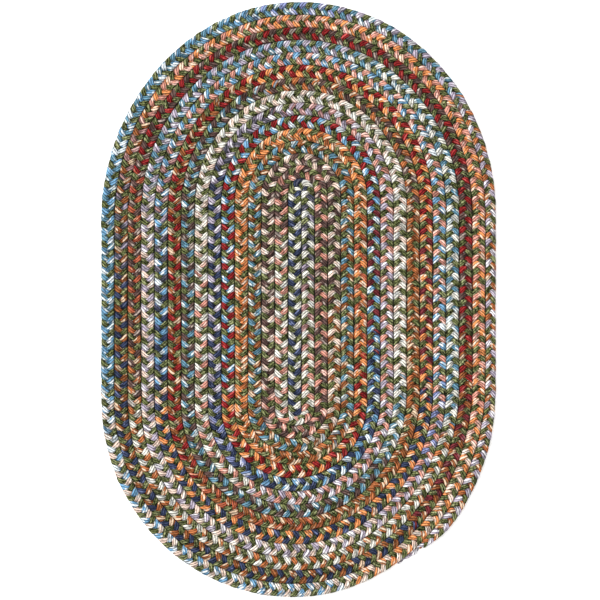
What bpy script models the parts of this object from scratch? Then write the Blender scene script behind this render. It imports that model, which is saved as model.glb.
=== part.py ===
"""Oval braided rug, 2 ft by 3 ft, lying flat on Z = 0.

One long flat braid is wound clockwise, seen from above, from the middle outwards and laced
turn to turn. The rug is one solid: every turn is a rounded rib on its upper and under side,
and two neighbouring ribs meet in a groove, where the lacing pulls them together. The length
is along Y, and the origin is on the surface, under the middle of the rug.
"""

import math

import bpy

# Driving dimensions, in metres
TURNS = 15  # rows of braid on each side of the middle
ROW_PITCH = 0.02038  # from one row to the next along the two sides
UPPER_PITCH = 0.01947  # the same at the upper end, where the turns are laced tighter
LOWER_PITCH = 0.02017  # and at the lower end
FIRST_REACH = 0.0062  # how far the lower end of the first turn bulges at its inner edge
CORE_LENGTH = 0.3405  # straight length of the innermost row
THICKNESS = 0.011  # over the crowns of both sides
LACED_THICKNESS = 0.003  # at the bottom of the grooves between rows

# How far the coil's middle lies off the middle of the rug; the rows even it out
OFF_MIDDLE = (0.0025, 0.0018)

# How far each row's straight stretch stops short of the one inside it, at each corner
SHOULDER = {
    "top_left": 0.0032,
    "top_right": 0.0024,
    "bottom_left": 0.0015,
    "bottom_right": 0.0033,
}

ARC_STEPS = 22  # stations round each end of a turn

# The outermost row narrows down the right side, and its end is tapered and tucked in
SIDE_SHARE = 0.8  # its width there, as a share of a full row
NARROW_START = 0.6  # where it starts to narrow, as a share of its upper end
TIP_SHARE = 0.15  # its width at the very end
TAIL_STEPS = 7  # how many of the ARC_STEPS it still follows past the right-hand corner
TAPER_START = 0.68  # where the taper starts, as a share of those steps
TIP_FULLNESS = 0.35  # height left at the very end, as a share of the rise

# One rib from its inner to its outer groove. Columns: place across the row, then the rise
# of the upper and of the under side from the groove to the crown, as a share.
RIB_PROFILE = (
    (-0.5, 0.0, 0.0),
    (-0.26, 0.84, 1.0),
    (0.0, 1.0, 1.0),
    (0.26, 0.84, 1.0),
    (0.5, 0.0, 0.0),
)

YARN_COLOUR = (0.110, 0.094, 0.062)  # all the yarns together, seen from a distance
YARN_ROUGHNESS = 0.95
SAME_POINT = 6  # decimals of a metre: points of neighbouring rows this close are one


def soft_step(share):
    """From 0 to 1 with level ends."""
    share = min(max(share, 0.0), 1.0)
    return share * share * (3 - 2 * share)


def corner_height(rows_out, corner):
    """Distance along Y from the middle to where a row's straight stretch ends."""
    return CORE_LENGTH / 2 - SHOULDER[corner] * rows_out


def moved(x, y, rows_gone):
    """A place moved with the coil's middle, less and less towards the outermost row."""
    fade = 1 - min(1.0, rows_gone / TURNS)
    return x + OFF_MIDDLE[0] * fade, y + OFF_MIDDLE[1] * fade


def top_point(rows_out, angle):
    """X and Y on the upper end: angle pi is the left corner and 0 the right one."""
    corner = "top_right" if angle < math.pi / 2 else "top_left"
    reach = (UPPER_PITCH + SHOULDER[corner]) * rows_out
    x = ROW_PITCH * rows_out * math.cos(angle)
    y = corner_height(rows_out, corner) + reach * math.sin(angle)
    return moved(x, y, rows_out)


def bottom_point(rows_out, angle):
    """X and Y on the lower end: angle 0 is the right corner and pi the left one.

    These half turns are centred half a row to the left, which makes the rows one spiral.
    """
    corner = "bottom_right" if angle < math.pi / 2 else "bottom_left"
    reach = math.hypot(LOWER_PITCH * (rows_out - 0.5), FIRST_REACH) + SHOULDER[corner] * rows_out
    x = ROW_PITCH * (rows_out * math.cos(angle) - 0.5)
    y = corner_height(rows_out, corner) + reach * math.sin(angle)
    return moved(x, -y, rows_out - 0.5 + angle / math.pi)


def start_point(across):
    """X and Y on the line across the innermost row where the braid begins."""
    corner = "bottom_left" if across > 0 else "bottom_right"
    rows_out = 0.5 + across
    return moved(-rows_out * ROW_PITCH, -corner_height(abs(across), corner), rows_out)


def stations_of(turn):
    """The stations of a turn in order: (end of the rug, angle, width share)."""
    outermost = turn == TURNS - 1
    for step in range(ARC_STEPS + 1):
        angle = math.pi * (1 - step / ARC_STEPS)
        narrowed = (step / ARC_STEPS - NARROW_START) / (1 - NARROW_START)
        narrowed = soft_step(narrowed) if outermost else 0.0
        yield "top", angle, 1 - (1 - SIDE_SHARE) * narrowed
    for step in range((TAIL_STEPS if outermost else ARC_STEPS) + 1):
        share = 1.0
        if outermost:
            tapered = soft_step((step / TAIL_STEPS - TAPER_START) / (1 - TAPER_START))
            share = SIDE_SHARE + (TIP_SHARE - SIDE_SHARE) * tapered
        yield "bottom", math.pi * step / ARC_STEPS, share


def row_point(turn, station, across):
    """X and Y at a station, for a place across the row from -0.5, inside, to 0.5."""
    end, angle, share = station
    narrowed = (across + 0.5) * share - 0.5
    if end == "top":
        return top_point(turn + 0.5 + narrowed, angle)
    return bottom_point(turn + 1 + narrowed, angle)


def fullness(share):
    """How much of its height a narrowed row keeps."""
    return TIP_FULLNESS + (1 - TIP_FULLNESS) * min(1.0, share / SIDE_SHARE)


class Skin:
    """The rug seen from above: points shared between rows, each with its two heights."""

    def __init__(self):
        self.points = []
        self.faces = []
        self.index_at = {}

    def point(self, place, upper_rise, under_rise):
        key = tuple(round(value, SAME_POINT) for value in place)
        if key not in self.index_at:
            self.index_at[key] = len(self.points)
            rise = (THICKNESS - LACED_THICKNESS) / 2
            upper = (THICKNESS + LACED_THICKNESS) / 2 + rise * upper_rise
            self.points.append((*place, upper, rise * (1 - under_rise)))
        return self.index_at[key]

    def line(self, places, share):
        """One rib's points at a station."""
        return [
            self.point(place, upper * fullness(share), under)
            for place, (_, upper, under) in zip(places, RIB_PROFILE)
        ]

    def face(self, *corners):
        """A face without its repeated corners, such as at the centre of the first turn."""
        distinct = list(dict.fromkeys(corners))
        if len(distinct) > 2:
            self.faces.append(distinct)

    def strip(self, before, after):
        """The faces between two lines across a row."""
        for inner in range(len(before) - 1):
            outer = inner + 1
            self.face(before[inner], after[inner], after[outer], before[outer])

    def fan(self, line, rim):
        """The half disc between the braid's starting line and the rim around it."""
        place = 0
        for step in range(len(rim) - 1):
            self.face(line[place], rim[step + 1], rim[step])
            if (step + 1) / (len(rim) - 1) >= (place + 1) / (len(line) - 1):
                self.face(line[place], line[place + 1], rim[step + 1])
                place += 1

    def rim_edges(self):
        """The edges with a face on one side only, in the direction of that face."""
        edges = {
            (face[i - 1], face[i]) for face in self.faces for i in range(len(face))
        }
        return [edge for edge in edges if edge[::-1] not in edges]


def wind_braid(skin):
    """Lays the ribs of all the turns, from the middle of the rug to its outer edge."""
    across = [column[0] for column in RIB_PROFILE]
    lines = [skin.line([start_point(place) for place in across], 1.0)]
    for turn in range(TURNS):
        for station in stations_of(turn):
            places = [row_point(turn, station, place) for place in across]
            lines.append(skin.line(places, station[2]))
    for before, after in zip(lines, lines[1:]):
        skin.strip(before, after)
    angles = [math.pi * step / ARC_STEPS for step in range(ARC_STEPS + 1)]
    rim = [skin.point(bottom_point(0.5, angle), 0.0, 0.0) for angle in angles]
    skin.fan(lines[0], rim)


def closed_mesh(skin):
    """The upper and under sides of a skin, joined round the rim, about the origin."""
    count = len(skin.points)
    middle = [
        (min(values) + max(values)) / 2 for values in list(zip(*skin.points))[:2]
    ]
    placed = [(x - middle[0], y - middle[1], *z) for x, y, *z in skin.points]
    points = [(x, y, upper) for x, y, upper, _ in placed]
    points += [(x, y, under) for x, y, _, under in placed]
    faces = skin.faces + [[count + corner for corner in face[::-1]] for face in skin.faces]
    faces += [(b, a, count + a, count + b) for a, b in sorted(skin.rim_edges())]
    mesh = bpy.data.meshes.new("braided_rug")
    mesh.from_pydata(points, [], faces)
    mesh.validate()
    mesh.update()
    return mesh


def yarn_material():
    material = bpy.data.materials.new("braided_wool_yarn")
    material.use_nodes = True
    shader = material.node_tree.nodes["Principled BSDF"]
    shader.inputs["Base Color"].default_value = (*YARN_COLOUR, 1)
    shader.inputs["Roughness"].default_value = YARN_ROUGHNESS
    shader.inputs["Metallic"].default_value = 0.0
    return material


def clear_scene():
    for thing in list(bpy.data.objects):
        bpy.data.objects.remove(thing, do_unlink=True)


clear_scene()
rug_skin = Skin()
wind_braid(rug_skin)
rug_mesh = closed_mesh(rug_skin)
rug_mesh.materials.append(yarn_material())
rug_mesh.shade_smooth()
rug = bpy.data.objects.new("braided_rug", rug_mesh)
bpy.context.scene.collection.objects.link(rug)
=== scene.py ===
import math

import bpy
import numpy as np
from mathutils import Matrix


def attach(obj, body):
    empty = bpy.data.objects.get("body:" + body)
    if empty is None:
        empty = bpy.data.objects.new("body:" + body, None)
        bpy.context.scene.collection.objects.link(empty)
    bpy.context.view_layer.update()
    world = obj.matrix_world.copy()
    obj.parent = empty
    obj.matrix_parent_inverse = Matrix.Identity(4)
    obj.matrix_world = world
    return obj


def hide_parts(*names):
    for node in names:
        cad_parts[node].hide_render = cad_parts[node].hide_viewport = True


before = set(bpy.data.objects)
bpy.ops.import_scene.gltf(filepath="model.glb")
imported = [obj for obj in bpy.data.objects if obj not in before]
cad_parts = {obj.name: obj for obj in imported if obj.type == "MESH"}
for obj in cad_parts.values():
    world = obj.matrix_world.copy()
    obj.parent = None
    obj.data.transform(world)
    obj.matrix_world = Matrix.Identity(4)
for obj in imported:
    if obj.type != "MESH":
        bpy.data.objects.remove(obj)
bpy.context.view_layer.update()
print("frame loaded")

# The braid's way round the rug: the rows of the solid that it replaces, with a fuller tail
coil = {
    "turns": 15,  # rows of braid on each side of the middle
    "rowPitch": 0.02038,  # from one row to the next along the two sides
    "upperPitch": 0.01947,  # the same at the upper end, where the turns are laced tighter
    "lowerPitch": 0.02017,  # and at the lower end
    "firstReach": 0.0062,  # how far the lower end of the first turn bulges at its inner edge
    "coreLength": 0.3405,  # straight length of the innermost row
    "topLeft": 0.0032,  # how far each row's straight stretch stops short of the one inside it
    "topRight": 0.0024,
    "bottomLeft": 0.0015,
    "bottomRight": 0.0033,
    "offMiddle": (0.0025, 0.0018),  # how far the coil's middle lies off the middle of the rug
    "sideShare": 0.8,  # width of the outermost row down the right side
    "narrowStart": 0.6,  # where it starts to narrow, as a share of its upper end
    "tailReach": 7 / 22,  # how much of the lower end it still follows, as the braid's tail
    "tailShare": 0.95,  # the tail's width before its taper
    "tailWidened": 0.35,  # where it has that width, as a share of the tail
    "taperStart": 0.66,  # where its taper starts, as a share of the tail
    "tipShare": 0.15,  # its width at the very end
    "tipFullness": 0.35,  # its height there
}

# One flat braid of three strands. Lengths in metres, shares are of the row's width.
braid = {
    "repeat": 0.0302,  # length of braid in which a strand comes back to the same side
    "thickness": 0.011,
    "sharpness": 0.93,  # of a strand's turns at the row's edges: 0 is a sine, 1 a zigzag
    "steepness": 2.3,  # of its dives under the next strand
    "cover": 1.18,  # length of row under a strand, where 1 just fills it
    "edgeTaper": 0.12,  # how much of that it loses where it folds over
    "middleTaper": 0.42,  # and where it comes up at the middle line
    "press": (-0.0003, 0.0008),  # how far the rows' folds press into one another: sides, ends
    "upright": (0.20, 0.24),  # how much its slant is less than an even zigzag's: sides, ends
    "turning": 0.21,  # how far its yarns roll over from fold to fold, in turns to either side
    "evenness": 0.97,  # of that roll: 0 is a sine, 1 a zigzag
    "lead": 0.25,  # how early it comes up, in radians: 0 is right at the middle line
    "halfHeight": 0.0030,  # of a strand
    "pinch": 0.6,  # how much thinner it is where it folds over at an edge of the row
    "fullness": 3.2,  # of its section: 2 is an ellipse, more is closer to a rounded bar
    "sides": 12,  # points round a strand
    "plies": 6,  # yarns laid side by side round a strand
    "stations": 16,  # rings of points in a repeat
    "gather": 0.4,  # how much closer these come where a strand turns or dives
    "startLap": 0.010,  # tucked under before the first stitch
    "tipLength": 0.012,  # over which a strand's end is rounded off
    # It was braided by hand, tighter in some places than in others: metres of braid, and how many
    # repeats the stitches are ahead of an even count there
    "ahead": [
        (0.0, -0.08), (1.1, -0.53), (2.2, -0.18), (3.7, 0.22), (4.5, 0.32), (6.3, -0.23), (6.5, -0.63),
        (7.6, -0.58), (8.2, -1.03), (9.0, -0.88), (9.9, -1.48), (11.0, -1.38), (11.5, -1.73),
        (13.7, -2.38), (14.9, -1.93), (15.6, -2.33), (16.1, -1.88), (17.3, -1.63), (17.6, -1.88),
        (18.4, -1.63), (20.1, -2.03), (20.7, -1.58), (21.9, -1.33), (22.4, -1.53), (23.2, -0.93),
        (23.7, -1.43),
    ],
}


def softStep(share):
    # From 0 to 1 with level ends: 3t^2 - 2t^3
    share = np.clip(share, 0.0, 1.0)
    return share * share * (3 - 2 * share)


def blend(first, second, share):
    # first where share is 0, second where it is 1, and straight in between
    return first + (second - first) * share


def lengthsAlong(points):
    # Length gone at each point of a path: the running sum of its steps
    steps = np.linalg.norm(np.diff(points, axis=0), axis=1)
    return np.concatenate([[0.0], np.cumsum(steps)])


def widthShare(way):
    # The row's width as a share of a full row: 1, eased to the narrower right side of the
    # outermost row, eased to the tail's width, and eased to the tip's.
    last = 4 * (coil["turns"] - 1)
    narrowed = softStep((way - last - 1 - coil["narrowStart"]) / (1 - coil["narrowStart"]))
    tail = (way - last - 3) / coil["tailReach"]
    side = blend(coil["sideShare"], coil["tailShare"], softStep(tail / coil["tailWidened"]))
    tapered = softStep((tail - coil["taperStart"]) / (1 - coil["taperStart"]))
    return blend(blend(1.0, side, narrowed), coil["tipShare"], tapered)


def rowPlace(way, across):
    # X and Y of a place in the coil. way counts quarters: left side, upper end, right side,
    # lower end, and again for the next turn. across is -0.5 at a row's inner groove and 0.5 at
    # its outer one. The upper ends are half ellipses round the middle line, the lower ones half
    # ellipses centred half a row to the left, and the sides are straight lines between them. All
    # are moved with the coil's middle, less and less towards the outermost row.
    across = (across + 0.5) * widthShare(way) - 0.5
    quarter = np.maximum(np.floor(way), 0)
    turn, part = np.floor(quarter / 4), quarter % 4
    gone = way - quarter
    half = coil["coreLength"] / 2
    rows = turn + 0.5 + across
    lower = rows + 0.5
    angle = math.pi * np.where(part == 1, 1 - gone, gone)

    def capHeight(rowsOut, reach, left, right):
        corner = np.where(angle < math.pi / 2, right, left)
        return half - corner * rowsOut + (reach + corner * rowsOut) * np.sin(angle)

    leftStart = coil["bottomLeft"] * np.abs(turn + across) - half
    leftEnd = half - coil["topLeft"] * rows
    rightStart = half - coil["topRight"] * rows
    rightEnd = coil["bottomRight"] * lower - half
    lowerReach = np.hypot(coil["lowerPitch"] * rows, coil["firstReach"])
    x = np.select(
        [part == 0, part == 1, part == 2],
        [-rows, rows * np.cos(angle), rows],
        lower * np.cos(angle) - 0.5,
    )
    y = np.select(
        [part == 0, part == 1, part == 2],
        [
            blend(leftStart, leftEnd, gone),
            capHeight(rows, coil["upperPitch"] * rows, coil["topLeft"], coil["topRight"]),
            blend(rightStart, rightEnd, gone),
        ],
        -capHeight(lower, lowerReach, coil["bottomLeft"], coil["bottomRight"]),
    )
    fade = 1 - np.minimum(1, (rows + np.where(part == 3, gone, 0)) / coil["turns"])
    middleX = (coil["sideShare"] - 1) / 2 * coil["rowPitch"]
    upperEnd = coil["upperPitch"] * coil["turns"]
    lowerEnd = np.hypot(coil["lowerPitch"] * (coil["turns"] - 1), coil["firstReach"])
    middleY = (upperEnd - lowerEnd) / 2
    x = x * coil["rowPitch"] - middleX + coil["offMiddle"][0] * fade
    return x, y - middleY + coil["offMiddle"][1] * fade


# Length along the braid's middle line against the quarters gone, as a table to read either way.
# It starts a little before the first quarter, for the end that is tucked under.
firstWay, tableSize = -0.1, 24000
wayEnd = 4 * (coil["turns"] - 1) + 3 + coil["tailReach"]
wayTable = np.linspace(firstWay, wayEnd, tableSize)
lengthTable = lengthsAlong(np.stack(rowPlace(wayTable, 0.0 * wayTable), axis=1))
lengthTable -= np.interp(0.0, wayTable, lengthTable)
braidLength = lengthTable[-1]
print(f"braid: {braidLength:.2f} m long")


def stitchPhase(along, thirds):
    # A strand's place in the repeat, in radians: a full circle for each repeat of the braid
    ahead = np.interp(along, *np.transpose(braid["ahead"]))
    return 2 * math.pi * (along / braid["repeat"] + ahead + thirds / 3)


# The unevenness of a strand: its swings are so far apart, in metres, and so large to either side
uneven = {
    "phase": (0.021, 0.10),  # place in the repeat, in radians
    "swing": (0.017, 0.04),  # reach towards the row's edges, as a share
    "sideways": (0.043, 0.0004),  # place across the row
    "rise": (0.019, 0.35),  # height lost, as the root of a share
    "length": (0.013, 0.05),  # length of row under it, as a share
    "roll": (0.055, 0.15),  # turns round itself
}


def wander(random, along, spacing, size):
    # A smooth random swing: values at even spacing along the braid, eased from one to the next.
    place = (along - along[0]) / spacing
    knots = random.uniform(-size, size, int(place[-1]) + 3)
    knot = place.astype(int)
    return blend(knots[knot], knots[knot + 1], softStep(place - knot))


def roundSection(count, flatness):
    # Unit points of a superellipse, |x|^n + |y|^n = 1, spaced evenly along its rim once it is
    # drawn flatness times as wide as high
    angle = np.linspace(0, 2 * math.pi, 1441)
    power = 2 / braid["fullness"]
    x = np.sign(np.cos(angle)) * np.abs(np.cos(angle)) ** power
    y = np.sign(np.sin(angle)) * np.abs(np.sin(angle)) ** power
    rim = lengthsAlong(np.stack([x * flatness, y], axis=1))
    even = np.arange(count) / count * rim[-1]
    return np.interp(even, rim, x), np.interp(even, rim, y)


def strandSkin(strand, along):
    # A strand's rings of points. Its middle goes from side to side of the row as
    # asin(k sin p) / asin(k), a rounded zigzag, where p grows by a full circle in each repeat.
    # It goes up and down as tanh(s sin 2p) / tanh(s), flat on top and steep in between, so it
    # rises at the row's middle line, passes over to an edge, folds under there and goes back
    # below. Like a ribbon that is folded over and over, each yarn of the strand runs the same
    # way a little further along: a ring lies along the row and is as thick as the strand. A ring
    # is shorter where the strand comes up, by cos^6 p, and where it folds, by sin^14 p.
    random = np.random.default_rng(strand["seed"])
    phase = stitchPhase(along, strand["phase"]) + wander(random, along, *uneven["phase"])
    way = np.interp(along, lengthTable, wayTable)
    share = widthShare(way)
    full = blend(coil["tipFullness"], 1.0, np.minimum(1.0, share / coil["sideShare"]))
    begun = np.clip((along + braid["startLap"]) / braid["tipLength"], 0, 1)
    ended = np.clip((braidLength - strand["end"] - along) / braid["tipLength"], 0, 1)
    rounded = begun * (2 - begun) * ended * (2 - ended)
    size = np.sqrt(np.clip(rounded, 0.002, 1))  # never quite a point

    innerX, innerY = rowPlace(way, 0 * along - 0.5)
    outerX, outerY = rowPlace(way, 0 * along + 0.5)
    rowWidth = np.hypot(outerX - innerX, outerY - innerY)
    ends = np.sin(math.pi / 2 * (way - 0.5)) ** 2  # 0 on the sides of the rug, 1 at its ends
    sharp, steep = braid["sharpness"], braid["steepness"]
    halfHeight = braid["halfHeight"] * (1 - braid["pinch"] * np.sin(phase) ** 6) * size
    press = blend(*braid["press"], ends)
    swing = (rowWidth + press) / 2 - braid["halfHeight"] * (1 - braid["pinch"]) * full
    swing = swing * (1 + wander(random, along, *uneven["swing"]))
    across = swing * np.arcsin(sharp * np.sin(phase)) / math.asin(sharp)
    across = across + wander(random, along, *uneven["sideways"])
    middle = braid["thickness"] / 2
    rise = (middle - halfHeight) * (1 - wander(random, along, *uneven["rise"]) ** 2)
    lead = braid["lead"] * np.cos(phase) ** 2
    height = rise * np.tanh(steep * np.sin(2 * phase + lead)) / math.tanh(steep)

    towards = np.stack([np.gradient(across), np.gradient(height)])
    towards /= np.linalg.norm(towards, axis=0)
    taper = 1 - braid["edgeTaper"] * np.sin(phase) ** 14 - braid["middleTaper"] * np.cos(phase) ** 6
    halfLength = braid["repeat"] / 6 * braid["cover"] * strand["width"] * taper * size
    halfLength = halfLength * (1 + wander(random, along, *uneven["length"]))
    sectionX, sectionY = roundSection(braid["sides"], halfLength.mean() / halfHeight.mean())
    centreAlong = along - blend(*braid["upright"], ends) * np.abs(across)
    placeAlong = centreAlong[:, None] + halfLength[:, None] * sectionX
    outwards = halfHeight[:, None] * sectionY
    placeAcross = (across[:, None] - outwards * towards[1][:, None]) / rowWidth[:, None]
    x, y = rowPlace(np.interp(placeAlong, lengthTable, wayTable), placeAcross)
    z = middle + height[:, None] + outwards * towards[0][:, None]
    rings = np.stack([x, y, z * full[:, None]], axis=2)
    # Painted shade: how open each point is to the light, which darkens the yarn's colour in the gaps
    openness = strandOpenness(np.abs(z - middle), way, across / rowWidth, share, sectionY)

    # The yarns roll over evenly, to and fro, as (2 / pi) asin(k cos p)
    turned = 2 / math.pi * np.arcsin(braid["evenness"] * np.cos(phase))
    roll = wander(random, along, *uneven["roll"]) - braid["turning"] * turned
    return rings.mean(axis=1), rings, openness, roll


# How open a place is to the light, from 0 down in a gap to 1 on a crown, painted into the yarns' colour as
# shade
openAir = {
    "fromHeight": -0.0009,  # off the middle of the thickness, where it would be 0
    "overHeight": 0.0046,  # and how much further off it is 1
    "outerEdge": 0.5,  # the least at the rug's outer edge, which is open to the side
    "outerWay": 0.4,  # quarters of the coil over which the outermost row comes to that edge
    "outerAcross": 0.2,  # how far out in that row it is there, as a share of the width
    "middleLine": 0.55,  # on a strand that comes up at the row's middle line
    "clearOf": 0.17,  # how far from that line a strand is clear of it, as a share of the width
    "flank": 0.7,  # how much of a strand's height is shaded there along its two sides
    "thinEnd": 0.9,  # on the last strand's thin end, which lies along the rug's edge
    "thinFrom": 0.6,  # width of the braid where that end starts, as a share
    "thinOver": 0.3,  # and the share over which it does
}


def strandOpenness(height, way, across, share, sectionY):
    # How open each point of the rings is to the light, for the painted shade in the yarns' colour:
    # eased up with its height above or below the middle of the thickness, and never shut at the rug's
    # outer edge. It is less where the strand comes up, most of all along its two sides, and nearly
    # even on the thin end.
    crown = softStep((height - openAir["fromHeight"]) / openAir["overHeight"])
    outermost = softStep((way - 4 * (coil["turns"] - 1) + 1) / openAir["outerWay"])
    outside = outermost * softStep(across / openAir["outerAcross"])
    openness = np.maximum(crown, openAir["outerEdge"] * outside[:, None])
    clear = softStep(np.abs(across) / openAir["clearOf"])[:, None]
    openness = openness * blend(openAir["middleLine"], 1.0, clear)
    openness = openness * blend(clear, 1.0, softStep(np.abs(sectionY) / openAir["flank"]))
    thin = softStep((openAir["thinFrom"] - share) / openAir["thinOver"])
    return blend(openness, openAir["thinEnd"], thin[:, None])


def tubeMesh(name, rings, lengths, roll, fields):
    # A closed tube through rings of points: four-sided faces between rings, one flat face at
    # each end. YarnPlace holds metres along and shares round, with the plies' roll added. OFBake
    # cuts the tube into equal lengths, laid in rows one above the other, and its two ends in a
    # narrow band on top.
    stations, count = rings.shape[:2]
    spans = stations - 1
    ring, spoke = np.divmod(np.arange(spans * count), count)
    nextSpoke = (spoke + 1) % count
    quads = np.stack(
        [
            ring * count + spoke,
            ring * count + nextSpoke,
            (ring + 1) * count + nextSpoke,
            (ring + 1) * count + spoke,
        ],
        axis=1,
    )
    firstEnd = np.arange(count)[::-1]
    lastEnd = spans * count + np.arange(count)
    corners = np.concatenate([quads.ravel(), firstEnd, lastEnd])
    sizes = np.concatenate([np.full(len(quads), 4), [count, count]])

    mesh = bpy.data.meshes.new(name)
    mesh.vertices.add(stations * count)
    mesh.vertices.foreach_set("co", rings.astype(np.float32).ravel())
    mesh.loops.add(len(corners))
    mesh.loops.foreach_set("vertex_index", corners.astype(np.int32))
    mesh.polygons.add(len(sizes))
    starts = np.concatenate([[0], np.cumsum(sizes)[:-1]])
    mesh.polygons.foreach_set("loop_start", starts.astype(np.int32))
    mesh.update(calc_edges=True)
    flat = mesh.attributes.new("sharp_face", "BOOLEAN", "FACE")
    flat.data.foreach_set("value", np.arange(len(sizes)) >= len(quads))

    alongCorner = np.stack([ring, ring, ring + 1, ring + 1], axis=1)
    roundCorner = np.stack([spoke, spoke + 1, spoke + 1, spoke], axis=1) / count
    endAngle = 2 * math.pi * np.arange(count) / count
    endsAlong = np.concatenate([np.full(count, lengths[0]), np.full(count, lengths[-1])])
    endsRound = np.tile(np.arange(count) / count, 2)
    placeU = np.concatenate([lengths[alongCorner].ravel(), endsAlong])
    placeV = np.concatenate([(roundCorner + roll[alongCorner]).ravel(), endsRound])

    girth = np.linalg.norm(np.diff(rings[spans // 2], axis=0, append=rings[spans // 2][:1]), axis=1)
    strips = max(1, round(math.sqrt((lengths[-1] - lengths[0]) / girth.sum())))
    perStrip = math.ceil(spans / strips)
    strip = ring // perStrip
    band, gap, margin = 0.012, 0.04, 0.004
    endRadius = 0.3 * band
    bakeU = margin + (1 - 2 * margin) * (alongCorner - (strip * perStrip)[:, None]) / perStrip
    bakeV = (strip[:, None] + gap + (1 - 2 * gap) * roundCorner) / strips * (1 - band)
    endU = np.concatenate([centre + endRadius * np.cos(endAngle) for centre in (0.25, 0.75)])
    endV = 1 - band / 2 + np.tile(endRadius * np.sin(endAngle), 2)

    maps = {
        "YarnPlace": (placeU, placeV),
        "OFBake": (np.concatenate([bakeU.ravel(), endU]), np.concatenate([bakeV.ravel(), endV])),
    }
    for mapName, (u, v) in maps.items():
        layer = mesh.uv_layers.new(name=mapName)
        layer.data.foreach_set("uv", np.stack([u, v], axis=1).astype(np.float32).ravel())
    for field, values in fields.items():
        layer = mesh.attributes.new(field, "FLOAT", "POINT")
        layer.data.foreach_set("value", values.astype(np.float32).ravel())
    mesh.validate()
    mesh.update()
    return mesh


def linearColour(hexColour):
    # sRGB hex to the linear values that a shader takes
    parts = [int(hexColour[i : i + 2], 16) / 255 for i in (0, 2, 4)]
    return [p / 12.92 if p <= 0.04045 else ((p + 0.055) / 1.055) ** 2.4 for p in parts]


def newMaterial(name):
    # A material with its node tree and its main shader
    material = bpy.data.materials.new(name)
    material.use_nodes = True
    tree = material.node_tree
    return material, tree, tree.nodes["Principled BSDF"]


def addNode(tree, kind, settings=None, links=None):
    # A shader node with its settings, by property name or socket, and its incoming links
    node = tree.nodes.new("ShaderNode" + kind)
    for key, value in (settings or {}).items():
        if isinstance(key, str) and hasattr(node, key):
            setattr(node, key, value)
        else:
            node.inputs[key].default_value = value
    for key, source in (links or {}).items():
        tree.links.new(source if hasattr(source, "is_linked") else source.outputs[0], node.inputs[key])
    return node


# The two space-dyed strands. "starts" are the places, in metres of braid, where the dye repeats.
# Columns: yarn, its colour, colour of its flecks, share of plies with flecks, metres of braid.
roseDye = {
    "starts": [-0.43, 5.97, 12.55, 18.97, 25.40],
    "chart": [
        ("navy", "404965", "6a7498", 0.25, 0.83),
        ("slate", "61606a", "a89db0", 0.35, 0.13),
        ("dusty rose", "b08482", "dcb4ae", 0.35, 0.10),
        ("salmon", "e09d8b", "ffcfc0", 0.35, 1.10),
        ("blush", "f3d7c6", "fff5e9", 0.40, 0.84),
        ("sky", "6f9bb0", "dfeaec", 0.35, 1.07),
        ("copper", "c4774a", "eed2b4", 0.35, 0.87),
        ("terracotta", "be664a", "e8b090", 0.25, 0.22),
        ("red", "9a2d2e", "c5504e", 0.25, 1.06),
        ("wine", "7f373c", "965a5e", 0.25, 0.23),
    ],
}
mistDye = {
    "starts": [-0.31, 7.79, 15.97, 24.15],
    "chart": [
        ("white", "f4f1e5", "d9dad6", 0.25, 1.34),
        ("charcoal", "68514c", "b8a69c", 0.30, 1.32),
        ("tan", "9f623c", "e6c8aa", 0.38, 1.38),
        ("orange", "f49e63", "ffdcc2", 0.38, 1.37),
        ("ice", "7babce", "eaf3f8", 0.45, 1.24),
        ("periwinkle", "8f97c4", "d8daec", 0.40, 0.12),
        ("lavender", "bfb3c4", "f1edf2", 0.40, 1.36),
    ],
}
dyeBlend = 0.004  # metres of braid to either side of a change of dye, over which it blends
dyeSpread = 0.045  # metres of braid over which the plies of a strand change one after another

# What differs between the two kinds of yarn: "fold" is the painted shade down in the folds of a
# ply's twist, "grain" how far its spots go to either side, "brightest" the tone that none exceeds,
# and "flecked" the noise over which a plain ply turns to a flecked one
oliveYarn = {
    "body": "696f45",
    "light": "93976b",
    # painted shade in the twist's folds
    "fold": 0.4,
    "grain": 0.8,
    "brightest": 1.6,
    "flecked": (0.48, 0.60),
}
dyedYarn = {
    # painted shade in the twist's folds
    "fold": 0.75,
    "grain": 0.36,
    "brightest": 1.35,
    "flecked": (-0.03, 0.05),  # here it counts from the chart's share
}

# Noise on every yarn: cells in a metre along it, and in a turn round the strand or from one ply
# to the next, where an odd count keeps the plies unlike, then detail and roughness
yarnNoise = {
    "fibres": ((500.0, 90.0, 1.0), 2.0, 0.6),  # 2 mm long and 0.3 mm across
    "grains": ((270.0, 10.0, 1.0), 1.0, 0.5),  # spots of the spun yarn, about 3 mm
    "shades": ((120.0, 4.7, 1.0), 1.0, 0.5),  # lighter and darker stretches of a ply, about 8 mm
    "patches": ((80.0, 5.3, 1.0), 1.0, 0.5),  # stretches of a ply that are flecked, about 12 mm
}

# Marks on every yarn. Tones go from dark to light.
yarnMarks = {
    "stitches": 70.0,  # lighter and darker stitches: cells of noise in a metre
    "twistPitch": 0.0036,  # length of a ply in which it twists round once
    "twistSlant": 0.8,  # how far a fold of the twist leans over the width of a ply, in turns
    "twistSpread": 5.0,  # how far apart the plies' twists may start, in turns
    # painted shade in the groove between two plies, painted highlight on the crown of one
    "paintedPlyShading": (0.12, 1.2),  # groove between two plies, crown of one
    # painted highlight on top of the twist's folds
    "paintedTwistHighlight": 1.06,  # on top of the twist's folds
    "shadeTone": (0.5, 1.5),
    "fibreTone": (0.84, 1.14),
    "stitchTone": (0.76, 1.22),
    # painted shade down in a gap, none out on a crown
    "paintedGapShade": (0.1, 1.0),  # down in a gap, out on a crown
    # painted colour of light bounced from yarn to yarn, deeper in a gap
    "paintedBounceGamma": 1.5,  # how much deeper a colour is in a gap, where light goes from yarn to yarn
    "roughness": (0.82, 0.98),
    "twistRelief": 0.25,  # height of the twist's folds, against a ply's
    "fibreRelief": 0.5,  # and of the fibres
}


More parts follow.
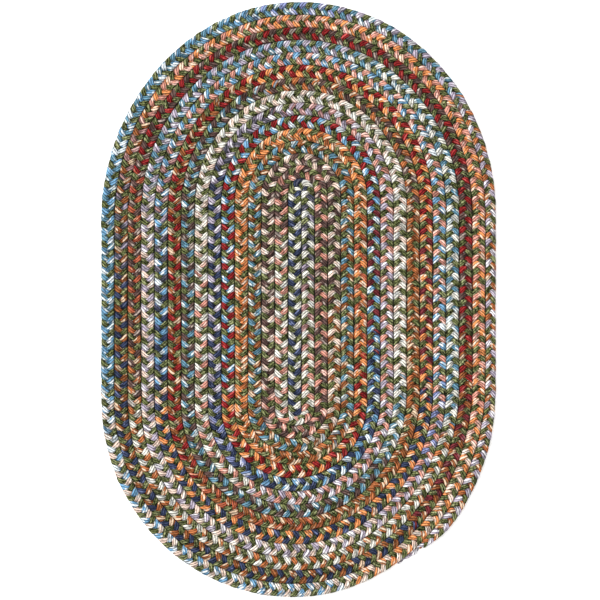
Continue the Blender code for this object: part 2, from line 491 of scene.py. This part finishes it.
def dyeRamp(tree, dye, column, links):
    # A ramp over one dye repeat: each yarn keeps its colour up to a short blend with the next.
    node = addNode(tree, "ValToRGB", {}, links)
    metres = np.array([row[4] for row in dye["chart"]])
    edges = np.concatenate([[0], np.cumsum(metres)]) / metres.sum()
    blendShare = dyeBlend / metres.sum()
    stops = node.color_ramp.elements
    for index, row in enumerate(dye["chart"]):
        for position in (edges[index] + blendShare, edges[index + 1] - blendShare):
            stops.new(position).color = [*linearColour(row[column]), row[3]]
    # The two that a new ramp has, at its very ends
    stops.remove(stops[0])
    stops.remove(stops[-1])
    return node


def yarnMaterial(name, dye, seed):
    # Wool-blend yarn, spun soft and laid in plies: matt and fibrous, with a painted highlight on the
    # crowns of the plies and painted shade in the gaps between them. A space-dyed strand changes its
    # colour along the braid, ply by ply, and has flecked plies; the olive one is one colour with heathered
    # twist.
    material, tree, shader = newMaterial(name)
    kind = dyedYarn if dye else oliveYarn
    place = addNode(tree, "UVMap", {"uv_map": "YarnPlace"})
    axes = addNode(tree, "SeparateXYZ", {}, {0: place})
    along, around = axes.outputs[0], axes.outputs[1]
    plyPlace = addNode(tree, "Math", {"operation": "MULTIPLY", 1: braid["plies"]}, {0: around})
    plyCount = addNode(tree, "Math", {"operation": "FLOOR"}, {0: plyPlace})
    plyIndex = addNode(tree, "Math", {"operation": "FLOORED_MODULO", 1: braid["plies"]}, {0: plyCount})
    plyInside = addNode(tree, "Math", {"operation": "FRACT"}, {0: plyPlace})
    plySeed = addNode(tree, "Math", {"operation": "ADD", 1: seed}, {0: plyIndex})
    plyChance = addNode(tree, "TexWhiteNoise", {"noise_dimensions": "1D"}, {"W": plySeed})

    # Height across a ply: sin(pi x), with a groove on either side
    plyArc = addNode(tree, "Math", {"operation": "MULTIPLY", 1: math.pi}, {0: plyInside})
    plyCrown = addNode(tree, "Math", {"operation": "SINE"}, {0: plyArc})

    # Twist of a ply: slanting folds, one every twistPitch, at a different place on each ply
    perMetre = 1 / yarnMarks["twistPitch"]
    slant, spread = yarnMarks["twistSlant"], yarnMarks["twistSpread"]
    twistAlong = addNode(tree, "Math", {"operation": "MULTIPLY", 1: perMetre}, {0: along})
    twistSlant = addNode(
        tree, "Math", {"operation": "MULTIPLY_ADD", 1: slant}, {0: plyInside, 2: twistAlong}
    )
    twistPlace = addNode(
        tree, "Math", {"operation": "MULTIPLY_ADD", 1: spread}, {0: plyChance, 2: twistSlant}
    )
    twistTurn = addNode(tree, "Math", {"operation": "MULTIPLY", 1: 2 * math.pi}, {0: twistPlace})
    twist = addNode(tree, "Math", {"operation": "SINE"}, {0: twistTurn})

    # Each noise is read along the yarn and round the strand or from ply to ply, and each yarn
    # reads it at another depth, so that no two have the same
    readAt = {
        "fibres": (around, seed),
        "grains": (around, seed),
        "shades": (plySeed, seed * 5.1),
        "patches": (plyIndex, seed * 3.7),
    }
    noise = {}
    for mark, (across, depth) in readAt.items():
        cells, detail, roughness = yarnNoise[mark]
        markPlace = addNode(tree, "CombineXYZ", {2: depth}, {0: along, 1: across})
        scaled = addNode(tree, "VectorMath", {"operation": "MULTIPLY", 1: cells}, {0: markPlace})
        settings = {"Scale": 1.0, "Detail": detail, "Roughness": roughness}
        noise[mark] = addNode(tree, "TexNoise", settings, {0: scaled})
    stitchPlace = addNode(tree, "CombineXYZ", {1: seed * 1.3}, {0: along})
    stitch = addNode(tree, "TexNoise", {"Scale": yarnMarks["stitches"], "Detail": 0.0}, {0: stitchPlace})

    plain, full = kind["flecked"]
    if dye:
        cycles = addNode(tree, "Attribute", {"attribute_name": "dyeCycles"}).outputs["Fac"]
        plyLag = dyeSpread / sum(row[4] for row in dye["chart"])
        shift = addNode(
            tree, "Math", {"operation": "MULTIPLY_ADD", 1: plyLag}, {0: plyChance, 2: cycles}
        )
        dyePlace = addNode(tree, "Math", {"operation": "FRACT"}, {0: shift})
        body = dyeRamp(tree, dye, 1, {0: dyePlace})
        fleck = dyeRamp(tree, dye, 2, {0: dyePlace})
        # A ply is flecked where its patch noise, spread over 0 to 1, is under the chart's share
        evened = addNode(tree, "MapRange", {"From Min": 0.3, "From Max": 0.7}, {0: noise["patches"]})
        under = addNode(tree, "Math", {"operation": "SUBTRACT"}, {0: body.outputs["Alpha"], 1: evened})
        flecked = addNode(tree, "MapRange", {"From Min": plain, "From Max": full}, {0: under})
        coloured = addNode(
            tree, "Mix", {"data_type": "RGBA"}, {"Factor": flecked, 6: body.outputs[0], 7: fleck.outputs[0]}
        ).outputs[2]
    else:
        bodyColour, lightColour = ([*linearColour(kind[part]), 1] for part in ("body", "light"))
        flecked = addNode(tree, "MapRange", {"From Min": plain, "From Max": full}, {0: noise["patches"]})
        coloured = addNode(
            tree, "Mix", {"data_type": "RGBA", 6: bodyColour, 7: lightColour}, {"Factor": flecked}
        ).outputs[2]

    # Tones on the yarn: each mark's range, and the tones it goes over. The ply crowns, the twist's
    # folds and the gaps are painted highlight and painted shade; the shades, fibres, grains and
    # stitches are the yarn's own uneven tone.
    openness = addNode(tree, "Attribute", {"attribute_name": "openness"}).outputs["Fac"]
    marks = [
        # painted shade in the grooves between plies, painted highlight on their crowns
        (plyCrown, (0.1, 0.8), yarnMarks["paintedPlyShading"]),
        # painted shade down in the twist's folds
        (twist, (0.9, 0.1), (kind["fold"], yarnMarks["paintedTwistHighlight"])),
        (noise["shades"], (0.3, 0.7), yarnMarks["shadeTone"]),
        (noise["fibres"], (0.3, 0.7), yarnMarks["fibreTone"]),
        (noise["grains"], (0.35, 0.65), (1 - kind["grain"], 1 + kind["grain"])),
        (stitch, (0.3, 0.7), yarnMarks["stitchTone"]),
        # painted shade down in the gaps between strands and rows
        (openness, (0.0, 1.0), yarnMarks["paintedGapShade"]),
    ]
    tone = None
    for mark, (low, high), (dark, bright) in marks:
        spans = {"From Min": low, "From Max": high, "To Min": dark, "To Max": bright}
        spans["clamp"] = mark is not noise["grains"]  # only the grain goes on past its range
        part = addNode(tree, "MapRange", spans, {0: mark})
        tone = part if tone is None else addNode(tree, "Math", {"operation": "MULTIPLY"}, {0: tone, 1: part})
    tone = addNode(tree, "Math", {"operation": "MINIMUM", 1: kind["brightest"]}, {0: tone})
    # Painted colour of light bounced from yarn to yarn: each colour deepened down in the gaps
    paintedBounceDepth = addNode(
        tree, "MapRange", {"To Min": yarnMarks["paintedBounceGamma"], "To Max": 1.0}, {0: openness}
    )
    paintedBounceColour = addNode(tree, "Gamma", {}, {0: coloured, 1: paintedBounceDepth})
    colour = addNode(tree, "VectorMath", {"operation": "SCALE"}, {0: paintedBounceColour, "Scale": tone})
    tree.links.new(colour.outputs[0], shader.inputs["Base Color"])

    # Dry fibres: hardly any shine, and a trace of fuzz
    least, most = yarnMarks["roughness"]
    spans = {"From Min": 0.3, "From Max": 0.7, "To Min": least, "To Max": most}
    rough = addNode(tree, "MapRange", spans, {0: noise["fibres"]})
    tree.links.new(rough.outputs[0], shader.inputs["Roughness"])
    shader.inputs["Sheen Weight"].default_value = 0.02
    shader.inputs["Sheen Roughness"].default_value = 0.5
    shader.inputs["Specular IOR Level"].default_value = 0.06

    relief = plyCrown
    for mark, share in ((twist, yarnMarks["twistRelief"]), (noise["fibres"], yarnMarks["fibreRelief"])):
        relief = addNode(tree, "Math", {"operation": "MULTIPLY_ADD", 1: share}, {0: mark, 2: relief})
    bump = addNode(tree, "Bump", {"Strength": 0.7, "Distance": 0.0005}, {"Height": relief})
    tree.links.new(bump.outputs[0], shader.inputs["Normal"])
    return material


def addPiece(label, mesh, material):
    # One piece of the rug. All of them together stand for its solid.
    mesh.materials.append(material)
    thing = bpy.data.objects.new(label, mesh)
    bpy.context.scene.collection.objects.link(thing)
    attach(thing, "root")
    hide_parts("braided_rug")


# The strands in the order in which they come up along the braid. "phase" is in thirds of a
# repeat, "end" how far before the tip of the braid a strand ends, in metres, and "width" is
# against an even share of the braid.
strands = {
    "olive": {"phase": 0, "end": 0.046, "width": 0.98, "seed": 11, "yarnSeed": 3},
    "rose": {"phase": 2, "end": 0.040, "width": 0.95, "seed": 12, "yarnSeed": 17},
    "mist": {"phase": 1, "end": 0.0, "width": 1.07, "seed": 13, "yarnSeed": 41},
}
# Stretches of the coil that are one mesh each, in turns: first and one past the last
stretches = [(0, 8), (8, 10), (10, 11), (11, 12), (12, 13), (13, 15)]


def layStrand(name, dye, materialName):
    # The strand's rings along the whole braid, cut into stretches where it runs underneath
    strand = strands[name]
    material = yarnMaterial(materialName, dye, strand["yarnSeed"])
    stations = math.ceil((braidLength + braid["startLap"]) / braid["repeat"] * braid["stations"])
    along = np.linspace(-braid["startLap"], braidLength - strand["end"], stations)
    # More rings where the strand turns or dives, four times in each repeat
    turnPlace = stitchPhase(along, strand["phase"])
    shift = braid["gather"] / 4 * braid["repeat"] / (2 * math.pi) * np.sin(4 * turnPlace)
    along[1:-1] -= shift[1:-1]
    path, rings, openness, roll = strandSkin(strand, along)
    lengths = lengthsAlong(path)
    # How many dye repeats have gone at each place of the braid
    cycles = np.interp(along, dye["starts"], np.arange(len(dye["starts"]))) if dye else 0 * along
    dyed = np.repeat(cycles[:, None], rings.shape[1], axis=1)
    cuts = []
    for first, _ in stretches[1:]:
        near = np.interp(4.0 * first, wayTable, lengthTable)
        low = np.abs(along - near) < braid["repeat"] / 2
        cuts.append(int(np.flatnonzero(low)[np.argmin(path[low, 2])]))
    for (first, last), start, stop in zip(stretches, [0, *cuts], [*cuts, stations - 1]):
        piece = slice(start, stop + 1)
        label = f"{name}_strand_turns_{first + 1}_to_{last}"
        # openness carries the painted shade to the yarn's material
        fields = {"openness": openness[piece], "dyeCycles": dyed[piece]}
        addPiece(label, tubeMesh(label, rings[piece], lengths[piece], roll[piece], fields), material)
    faces = 2 * (stations - 1) * rings.shape[1]
    print(f"{name} strand: {lengths[-1]:.1f} m of yarn, {faces} triangles")


# The thread that laces each turn to the one before it, down in the groove between them
lacing = {
    "halfWidth": 0.0024,
    "halfHeight": 0.0012,
    "sway": 0.0008,  # from side to side
    "swaysInRepeat": 1.5,  # one for each pair of stitches along a row
    "step": 0.006,  # between its rings of points
    "start": 0.35,  # length of braid that it leaves out: the first half turn, which joins none
    "endGap": 0.11,  # and at the very end, where the braid tapers
    # nearly black, dark enough to stand in for the shade down in the grooves as well as the thread
    "colour": "1b1c14",
    "fibres": (900.0, 6.0, 1.0),  # cells of noise in a metre, about 1 mm long, and in a turn
}


def waxedThread():
    # Waxed lacing thread: dull, and nearly black so that it also stands in for the shade down in the grooves
    material, tree, shader = newMaterial("lacing_thread_and_groove_shade")
    shader.inputs["Roughness"].default_value = 0.8
    place = addNode(tree, "UVMap", {"uv_map": "YarnPlace"})
    scaled = addNode(tree, "VectorMath", {"operation": "MULTIPLY", 1: lacing["fibres"]}, {0: place})
    noise = addNode(tree, "TexNoise", {"Scale": 1.0, "Detail": 1.0}, {0: scaled})
    tone = addNode(tree, "MapRange", {"To Min": 0.6, "To Max": 1.4}, {0: noise})
    colour = addNode(
        tree, "VectorMath", {"operation": "SCALE", 0: linearColour(lacing["colour"])}, {"Scale": tone}
    )
    tree.links.new(colour.outputs[0], shader.inputs["Base Color"])
    bump = addNode(tree, "Bump", {"Strength": 0.5, "Distance": 0.0003}, {"Height": noise})
    tree.links.new(bump.outputs[0], shader.inputs["Normal"])
    return material


def layLacing():
    # A flat thread along the inner groove of every row but the first half turn, at half the
    # thickness, swaying from row to row as it joins their stitches: a sine along the groove
    along = np.arange(lacing["start"], braidLength - lacing["endGap"], lacing["step"])
    way = np.interp(along, lengthTable, wayTable)
    swayLength = braid["repeat"] / lacing["swaysInRepeat"]
    sway = np.sin(2 * math.pi * along / swayLength) * lacing["sway"] / coil["rowPitch"]
    x, y = rowPlace(way, sway - 0.5)
    path = np.stack([x, y, 0 * x + braid["thickness"] / 2], axis=1)
    heading = np.gradient(path, axis=0)
    heading /= np.linalg.norm(heading, axis=1, keepdims=True)
    side = np.cross([0.0, 0.0, 1.0], heading)
    sectionX, sectionY = roundSection(4, lacing["halfWidth"] / lacing["halfHeight"])
    up = np.array([0.0, 0.0, lacing["halfHeight"]])
    rings = path[:, None, :] + side[:, None, :] * (lacing["halfWidth"] * sectionX)[None, :, None]
    rings = rings + up * sectionY[None, :, None]
    lengths = lengthsAlong(path)
    addPiece("lacing_thread", tubeMesh("lacing_thread", rings, lengths, 0 * along, {}), waxedThread())
    print(f"lacing: {lengths[-1]:.1f} m of thread")


layStrand("olive", None, "olive_wool_yarn")
layStrand("rose", roseDye, "space_dyed_wool_yarn_rose")
layStrand("mist", mistDye, "space_dyed_wool_yarn_mist")
layLacing()

# Studio: a pale floor, one broad soft light from the upper left, and even light all round
studio = {
    "floorSize": 24.0,
    "floorDrop": 0.0003,  # below the rug
    "floorColour": "f4f3f1",
    "floorGlow": 0.5,  # lit from below, so hardly any shadow shows round the rug
    "keyStrength": 2.3,
    "keyAngle": 35.0,  # degrees across, which softens the shadows
    "keyTilt": (-18.0, -28.0),  # degrees from straight down, about X and Y
    "allRound": 0.55,
}
bpy.ops.mesh.primitive_plane_add(size=studio["floorSize"], location=(0, 0, -studio["floorDrop"]))
floor = bpy.context.object
floor.name = "studio_floor"
floorPaint, _, floorShader = newMaterial("matt_white_paint")
floorShader.inputs["Base Color"].default_value = [*linearColour(studio["floorColour"]), 1]
floorShader.inputs["Roughness"].default_value = 0.9
floorShader.inputs["Emission Color"].default_value = (1, 1, 1, 1)
floorShader.inputs["Emission Strength"].default_value = studio["floorGlow"]
floor.data.materials.append(floorPaint)

key = bpy.data.objects.new("key_light", bpy.data.lights.new("key_light", "SUN"))
key.data.energy = studio["keyStrength"]
key.data.angle = math.radians(studio["keyAngle"])
key.rotation_euler = [math.radians(angle) for angle in (*studio["keyTilt"], 0)]
bpy.context.scene.collection.objects.link(key)
world = bpy.data.worlds.new("studio_air")
world.use_nodes = True
air = world.node_tree.nodes["Background"]
air.inputs["Color"].default_value = (1, 1, 1, 1)
air.inputs["Strength"].default_value = studio["allRound"]
bpy.context.scene.world = world
bpy.context.scene.view_settings.view_transform = "Standard"
print("studio ready")

# Camera: straight above, with a long lens
shot = {
    "height": 4.0,
    "seenWidth": 0.9226,  # of the rug's plane, across the picture
    "centre": (0.0023, -0.0008),
    "surface": 0.008,  # height of the rug's face
    "sensor": 36.0,  # mm
}
camera = bpy.data.objects.new("camera", bpy.data.cameras.new("camera"))
camera.location = (*shot["centre"], shot["height"])
camera.data.sensor_width = shot["sensor"]
camera.data.lens = shot["sensor"] * (shot["height"] - shot["surface"]) / shot["seenWidth"]
bpy.context.scene.collection.objects.link(camera)
bpy.context.scene.camera = camera
print("camera ready")
